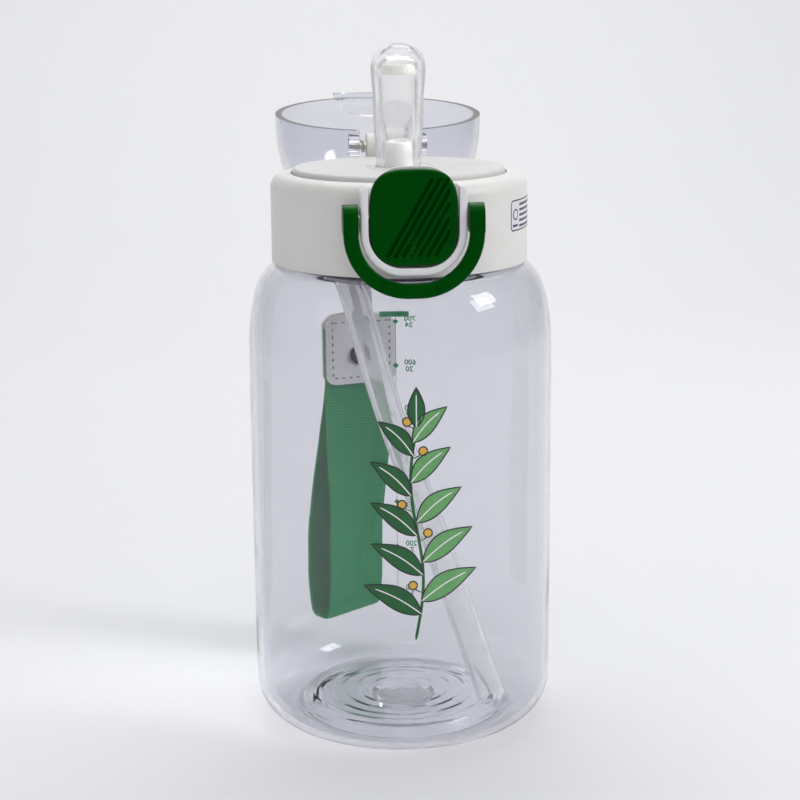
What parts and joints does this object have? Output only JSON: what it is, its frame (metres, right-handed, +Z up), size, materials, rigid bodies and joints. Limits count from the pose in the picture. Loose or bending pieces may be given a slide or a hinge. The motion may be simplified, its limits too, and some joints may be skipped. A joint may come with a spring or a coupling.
{
  "type": "kids water bottle",
  "caption": "Clear straw bottle for a child with a white screw lid, flip-up clear dome, soft spout, push-button latch, lock ring and a webbing hand strap.",
  "frame": {"origin": "centre of the flat foot in the middle of the bottle's base, on the bottle's axis", "axes": "+Z up the bottle's axis, -Y towards the push button, +Y towards the dome's hinge and the strap"},
  "size_m": [0.095, 0.1618, 0.2146],
  "materials": {
    "bottle_plastic": "clear, glossy",
    "dome_plastic": "clear with a faint grey-lilac tint, glossy",
    "white_plastic": "fine satin",
    "white_inner": "satin",
    "green_plastic": "semi-gloss",
    "clear_silicone": "translucent, satin",
    "straw_plastic": "translucent, frosted",
    "steel": "bright",
    "webbing": "woven",
    "leatherette": "fine grain",
    "snap_metal": "dark plated"
  },
  "bodies": {
    "bottle": {"bottle_body": "bottle_plastic"},
    "seal": {"lid_gasket": "clear_silicone"},
    "lid": {"lid_shell": "white_plastic", "lid_liner": "white_inner", "top_deck": "white_plastic", "hinge_pin": "steel", "hinge_spring_left": "steel", "hinge_spring_right": "steel", "latch_pin": "steel", "button_spring": "steel", "spout_nipple": "white_inner", "spout": "clear_silicone", "straw_adapter": "white_inner", "straw": "straw_plastic", "vent_valve": "clear_silicone", "strap_pin": "steel"},
    "cover": {"dome_cover": "dome_plastic"},
    "button": {"release_button": "green_plastic", "latch_lever": "white_inner"},
    "lock": {"lock_ring": "green_plastic"},
    "strap": {"strap_hanger": "leatherette", "strap_webbing": "webbing", "snap_cap": "snap_metal", "snap_stud": "snap_metal"}
  },
  "joints": [
    {"name": "lid_lift", "type": "slide", "parent": "bottle", "child": "seal", "axis": [0, 0, 1], "range_m": [0, 0.00675]},
    {"name": "lid_turn", "type": "hinge", "parent": "seal", "child": "lid", "pos_m": [0, 0, 0.16], "axis": [0, 0, 1], "range_deg": [0, 540]},
    {"name": "cover_hinge", "type": "hinge", "parent": "lid", "child": "cover", "pos_m": [0, 0.0375, 0.1802], "axis": [1, 0, 0], "range_deg": [0, 174.5], "stiffness_Nm_per_rad": 0.004, "springref_deg": -20.05},
    {"name": "button_press", "type": "hinge", "parent": "lid", "child": "button", "pos_m": [0, -0.0416, 0.1665], "axis": [1, 0, 0], "range_deg": [0, 3.5], "stiffness_Nm_per_rad": 0.3, "springref_deg": -4.58},
    {"name": "lock_swing", "type": "hinge", "parent": "lid", "child": "lock", "pos_m": [0, -0.0416, 0.1665], "axis": [-1, 0, 0], "range_deg": [0, 168]},
    {"name": "strap_swing", "type": "hinge", "parent": "lid", "child": "strap", "pos_m": [-0.0097, 0.043, 0.158], "axis": [1, 0, 0], "range_deg": [0, 30]}
  ],
  "couplings": [
    {"joint": "lid_lift", "follows": "lid_turn", "m_per_rad": 0.0007162}
  ]
}
